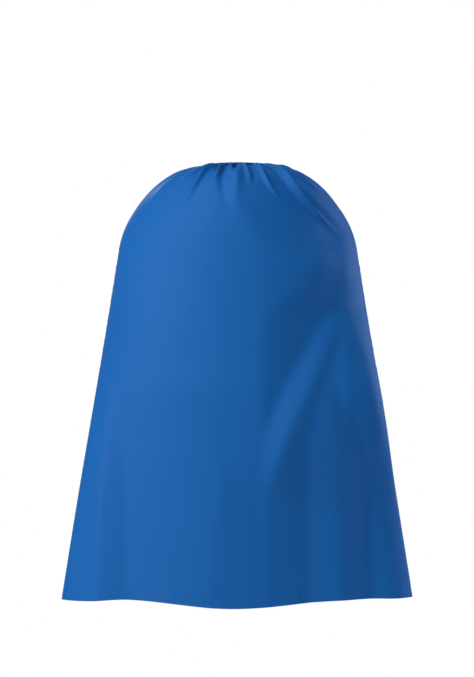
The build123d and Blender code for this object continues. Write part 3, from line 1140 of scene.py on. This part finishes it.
label = painted(label_ribbon(), label_satin)
sewn_label = painted(label_stitches(), white_thread)

# The bends between bodies: from one, to the other, and where each starts
SWING = ("root", "drape", (0, HEM_HALF_DEPTH, -0.05), (0, HEM_HALF_DEPTH, -0.30))
PEEL = ("root", "closure", (24 * MM, 0, 0), (18 * MM, 0, 0))
FLIP = ("root", "label", (0, 0, FORM_TOP + 0.5 * MM), (0, 0, FORM_TOP - 2.5 * MM))

# Each piece, its slot, the body that it rides on or the bend that it follows, and its CAD nodes
for piece, slot, motion, *nodes in (
    (panel, "cape_cloth", SWING, "cape_shoulders", "cape_drape"),
    (left_hem, "cape_cloth", SWING, "left_shoulder_hem", "left_side_hem"),
    (right_hem, "cape_cloth", SWING, "right_shoulder_hem", "right_side_hem"),
    (lower_hem, "cape_cloth", "drape", "bottom_hem"),
    (side_stitches, "thread", SWING, "shoulder_hem_stitching", "side_hem_stitching"),
    (lower_stitches, "thread", "drape", "bottom_hem_stitching"),
    (binding, "binding", "root", "neck_band"),
    (binding_stitches, "thread", "root", "band_stitching"),
    (tacks, "thread", "root", "bar_tacks"),
    (loop_strap, "binding", "root", "loop_tab"),
    (hook_strap, "binding", PEEL, "closure_tab"),
    (loop_ground, "loop_tape", "root", "loop_patch"),
    (loop_tufts, "loop_tape", "root"),
    (hook_ground, "hook_tape", "closure", "hook_patch"),
    (hook_tufts, "hook_tape", "closure"),
    (loop_stitches, "thread", "root", "loop_patch_stitching"),
    (hook_stitches, "thread", "closure", "hook_patch_stitching"),
    (label, "label_ribbon", FLIP, "care_label"),
    (sewn_label, "label_thread", "root", "label_stitching"),
):
    if isinstance(motion, tuple):
        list(motion)
        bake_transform(piece)
    else:
        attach(piece, motion)
    if nodes:
        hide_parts(*nodes)


# ------------ floor, light and camera


def floor():
    turns = np.linspace(0, 2 * math.pi, FLOOR_SIDES + 1)[:-1]
    edge = [(FLOOR_RADIUS * math.cos(t), FLOOR_RADIUS * math.sin(t), FLOOR_LEVEL) for t in turns]
    made = mesh_object("floor", edge, [tuple(range(FLOOR_SIDES))])
    painted(made, floor_paint())


def aimed(name, data, place, aim):
    """Object of a light or camera that stands at a place and looks at its aim."""
    made = bpy.data.objects.new(name, data)
    bpy.context.scene.collection.objects.link(made)
    made.location = place
    made.rotation_mode = "QUATERNION"
    made.rotation_quaternion = (Vector(aim) - Vector(place)).to_track_quat("-Z", "Y")
    return made


def soft_light(name, place, aim, size, power, colour=(1, 1, 1)):
    data = bpy.data.lights.new(name, "AREA")
    data.shape = "DISK"
    data.size = size
    data.energy = power
    data.color = colour
    aimed(name, data, place, aim).visible_camera = False


def surroundings(seen, glow):
    """White to the camera, and a gentler even light on the cape."""
    world = bpy.data.worlds.new("studio")
    bpy.context.scene.world = world
    world.use_nodes = True
    tree = world.node_tree
    background = tree.nodes["Background"]
    rays = tree.nodes.new("ShaderNodeLightPath")
    mixed = tree.nodes.new("ShaderNodeMix")
    mixed.data_type = "FLOAT"
    mixed.inputs[2].default_value = glow
    mixed.inputs[3].default_value = seen
    tree.links.new(rays.outputs["Is Camera Ray"], mixed.inputs[0])
    tree.links.new(mixed.outputs[0], background.inputs["Strength"])
    background.inputs["Color"].default_value = (1, 1, 1, 1)


floor()
surroundings(1.0, 0.30)
soft_light("key", (1.3, 1.0, 0.0), (0, 0.1, -0.3), 0.9, 13.5)
soft_light("fill", (1.0, 2.9, 0.8), (0, 0.1, -0.35), 1.6, 22.5)
soft_light("top", (0.6, 0.75, 0.95), (0, 0.05, -0.05), 0.4, 7.5)
soft_light("rim", (-2.3, -0.9, 0.1), (0, 0.1, -0.35), 1.6, 40, (0.6, 0.8, 1.0))
soft_light("front", (0.5, -2.8, 1.0), (0, 0, -0.3), 1.6, 35)

camera_data = bpy.data.cameras.new("camera")
camera_data.sensor_width = 36
camera_data.lens = camera_data.sensor_width * CAMERA_DISTANCE / VIEW_HEIGHT
camera_place = (CAMERA_X, CAMERA_DISTANCE, CAMERA_LEVEL)
camera = aimed("camera", camera_data, camera_place, (CAMERA_X, 0, CAMERA_LEVEL))
bpy.context.scene.camera = camera
bpy.context.scene.view_settings.view_transform = "Standard"
